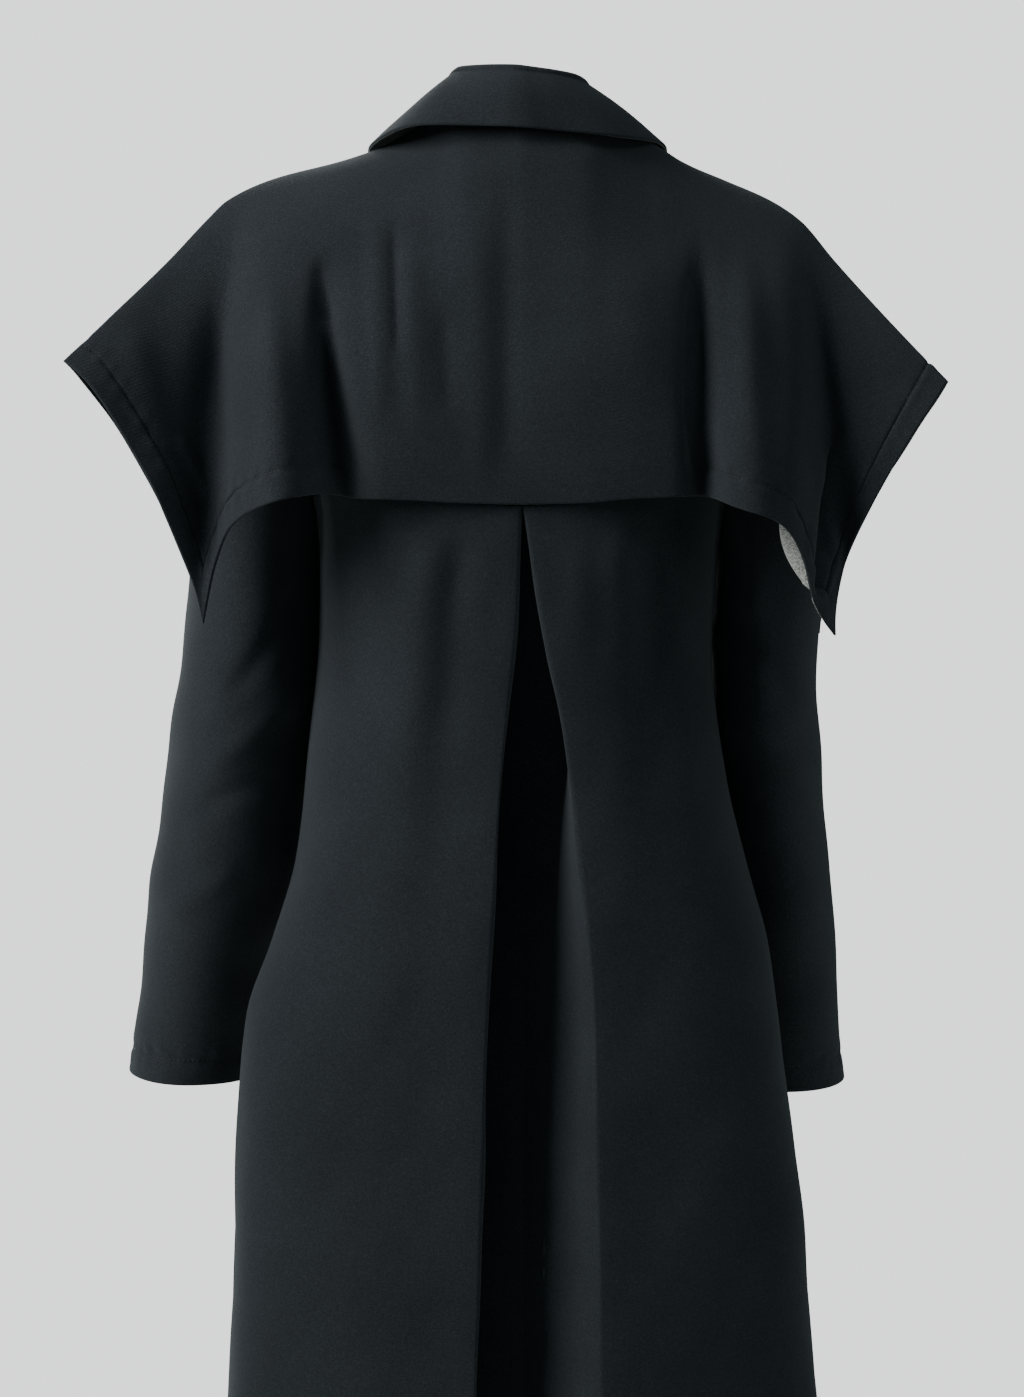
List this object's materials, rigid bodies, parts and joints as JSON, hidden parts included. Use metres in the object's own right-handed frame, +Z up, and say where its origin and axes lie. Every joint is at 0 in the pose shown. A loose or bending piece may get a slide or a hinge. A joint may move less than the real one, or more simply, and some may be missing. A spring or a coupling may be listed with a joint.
{
  "type": "cape coat",
  "caption": "Long wool coat in worn hollow form, with a shoulder cape, turned-down collar, open sleeves and an inverted box pleat down the back",
  "frame": {"origin": "middle of the neck opening at the height of the back neck seam, where the wearer's neck and shoulders hold the coat", "axes": "+Z up, -Y the wearer's front, +X the wearer's left"},
  "size_m": [0.5882, 0.3324, 1.1811],
  "materials": {
    "wool": "matt, softly napped",
    "horn": "satin"
  },
  "bodies": {
    "root": {"back_upper": "wool", "back_lower": "wool", "front_left": "wool", "front_right": "wool", "sleeve_left": "wool", "sleeve_right": "wool", "cape_back": "wool", "cape_front_left": "wool", "cape_front_right": "wool", "collar": "wool", "button_1": "horn", "button_2": "horn", "button_3": "horn", "button_4": "horn"}
  },
  "joints": []
}
